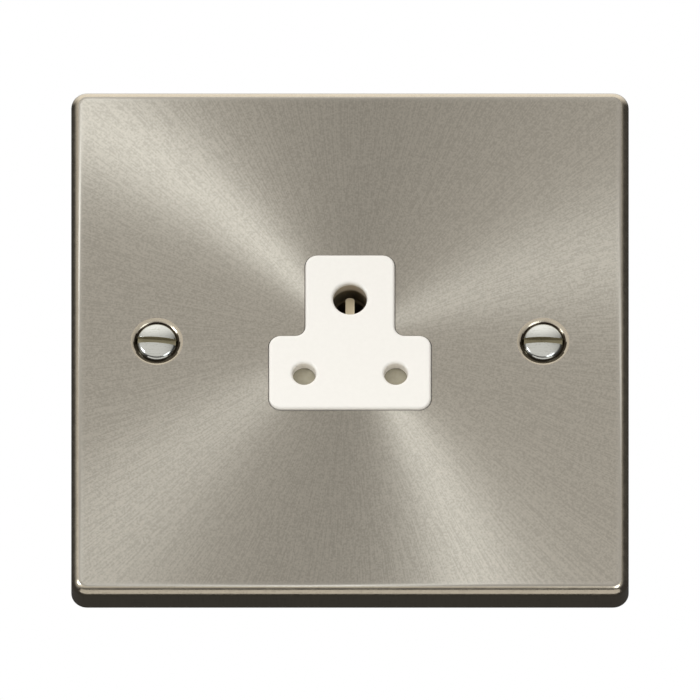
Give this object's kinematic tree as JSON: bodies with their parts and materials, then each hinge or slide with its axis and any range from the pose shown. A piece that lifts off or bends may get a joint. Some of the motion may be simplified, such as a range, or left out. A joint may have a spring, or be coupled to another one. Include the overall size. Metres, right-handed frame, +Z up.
{
  "type": "round pin socket",
  "caption": "Flush wall socket with a square satin metal plate, a white T-shaped front with round pin holes, a sprung shutter behind them and screw terminals at the rear.",
  "frame": {"origin": "midway between the two fixing screws, in the plane of the wall at the rear rim of the plate", "axes": "+Z up as on the wall, +Y into the wall, +X to the right as seen from the front"},
  "size_m": [0.087, 0.026, 0.087],
  "materials": {
    "satin_chrome": "satin, radially brushed, with a polished rim",
    "bright_chrome": "polished",
    "plated_steel": "zinc plated",
    "spring_steel": "drawn wire and strip",
    "brass": "bright turned",
    "white_moulding": "gloss moulded",
    "shutter_moulding": "moulded",
    "dark_moulding": "moulded phenolic",
    "natural_nylon": "translucent nylon"
  },
  "bodies": {
    "socket": {"faceplate": "satin_chrome", "fixing_screws": "bright_chrome", "screw_keepers": "natural_nylon", "plate_studs": "plated_steel", "stud_nuts": "plated_steel", "socket_front": "white_moulding", "shutter_spring": "spring_steel", "contact_carrier": "dark_moulding", "rear_cover": "dark_moulding", "base_screws": "plated_steel", "earth_strap": "brass", "earth_sleeve": "brass", "earth_grip_ring": "spring_steel", "earth_terminal": "brass", "line_sleeve": "brass", "line_grip_ring": "spring_steel", "line_terminal": "brass", "neutral_sleeve": "brass", "neutral_grip_ring": "spring_steel", "neutral_terminal": "brass", "terminal_screws": "plated_steel"},
    "shutter": {"shutter": "shutter_moulding"}
  },
  "joints": [
    {"name": "shutter_slide", "type": "slide", "parent": "socket", "child": "shutter", "axis": [0, 0, -1], "range_m": [0, 0.005], "stiffness_N_per_m": 150, "springref_m": -0.004, "deforming": ["shutter_spring"]}
  ]
}
